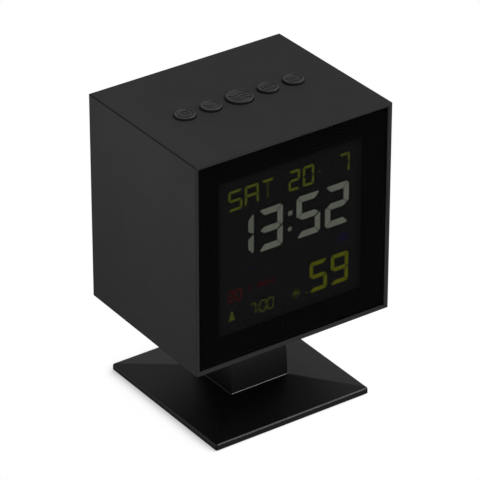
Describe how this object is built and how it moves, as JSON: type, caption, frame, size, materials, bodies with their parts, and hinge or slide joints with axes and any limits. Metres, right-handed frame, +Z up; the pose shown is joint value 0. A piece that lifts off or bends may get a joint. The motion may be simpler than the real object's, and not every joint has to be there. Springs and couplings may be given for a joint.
{
  "type": "digital alarm clock",
  "caption": "Cube-shaped black digital alarm clock with a square glossy segment display, a row of round push buttons on top and a battery door behind, on a square pedestal stand.",
  "frame": {"origin": "centre of the underside of the stand's foam pad, on the desk", "axes": "+Z up, the display faces -Y, +X to the right as seen from the front"},
  "size_m": [0.08, 0.0644, 0.1135],
  "materials": {
    "case_plastic": "fine moulded matt texture",
    "button_plastic": "satin moulding",
    "stand_plastic": "satin gloss moulding",
    "lens": "polished, smoked",
    "lens_print": "screen print",
    "display_glass": "polished",
    "light_guide": "clear acrylic",
    "lamp_strip": "moulded lamps",
    "frame_plastic": "moulded",
    "contact_rubber": "layered elastomer",
    "circuit_board": "solder mask",
    "component_black": "moulded",
    "socket_plastic": "moulded",
    "ribbon": "flat film",
    "screw_steel": "zinc plated",
    "sounder_brass": "rolled",
    "inlet_steel": "plated",
    "cell_can": "plain wrapped",
    "contact_steel": "nickel plated",
    "weight_steel": "cut plate",
    "foam": "closed-cell foam"
  },
  "bodies": {
    "clock": {"housing": "case_plastic", "stand": "stand_plastic", "front_lens": "lens", "lens_mask": "lens_print", "lcd_panel": "display_glass", "light_guide": "light_guide", "led_strip": "lamp_strip", "lcd_frame": "frame_plastic", "zebra_strips": "contact_rubber", "main_board": "circuit_board", "key_board": "circuit_board", "power_board": "circuit_board", "clock_chip": "component_black", "board_parts": "component_black", "key_switches": "component_black", "usb_tongue": "component_black", "ribbon_sockets": "socket_plastic", "key_ribbon": "ribbon", "frame_screws": "screw_steel", "board_screws": "screw_steel", "key_board_screws": "screw_steel", "power_board_screws": "screw_steel", "neck_screws": "screw_steel", "weight_screws": "screw_steel", "piezo_disc": "sounder_brass", "usb_socket": "inlet_steel", "batteries": "cell_can", "battery_contacts": "contact_steel", "battery_springs": "contact_steel", "base_weight": "weight_steel", "base_pad": "foam"},
    "alarm_key": {"alarm_button": "button_plastic", "alarm_plunger": "socket_plastic"},
    "down_key": {"down_button": "button_plastic", "down_plunger": "socket_plastic"},
    "snooze_key": {"snooze_button": "button_plastic", "snooze_plunger": "socket_plastic"},
    "up_key": {"up_button": "button_plastic", "up_plunger": "socket_plastic"},
    "mode_key": {"mode_button": "button_plastic", "mode_plunger": "socket_plastic"},
    "door": {"battery_door": "case_plastic"}
  },
  "joints": [
    {"name": "alarm_press", "type": "slide", "parent": "clock", "child": "alarm_key", "axis": [0, 0, -1], "range_m": [0, 0.0005], "stiffness_N_per_m": 400},
    {"name": "down_press", "type": "slide", "parent": "clock", "child": "down_key", "axis": [0, 0, -1], "range_m": [0, 0.0005], "stiffness_N_per_m": 400},
    {"name": "snooze_press", "type": "slide", "parent": "clock", "child": "snooze_key", "axis": [0, 0, -1], "range_m": [0, 0.0005], "stiffness_N_per_m": 400},
    {"name": "up_press", "type": "slide", "parent": "clock", "child": "up_key", "axis": [0, 0, -1], "range_m": [0, 0.0005], "stiffness_N_per_m": 400},
    {"name": "mode_press", "type": "slide", "parent": "clock", "child": "mode_key", "axis": [0, 0, -1], "range_m": [0, 0.0005], "stiffness_N_per_m": 400},
    {"name": "door_swing", "type": "hinge", "parent": "clock", "child": "door", "pos_m": [0, 0.0312, 0.052], "axis": [-1, 0, 0], "range_deg": [0, 60]}
  ]
}
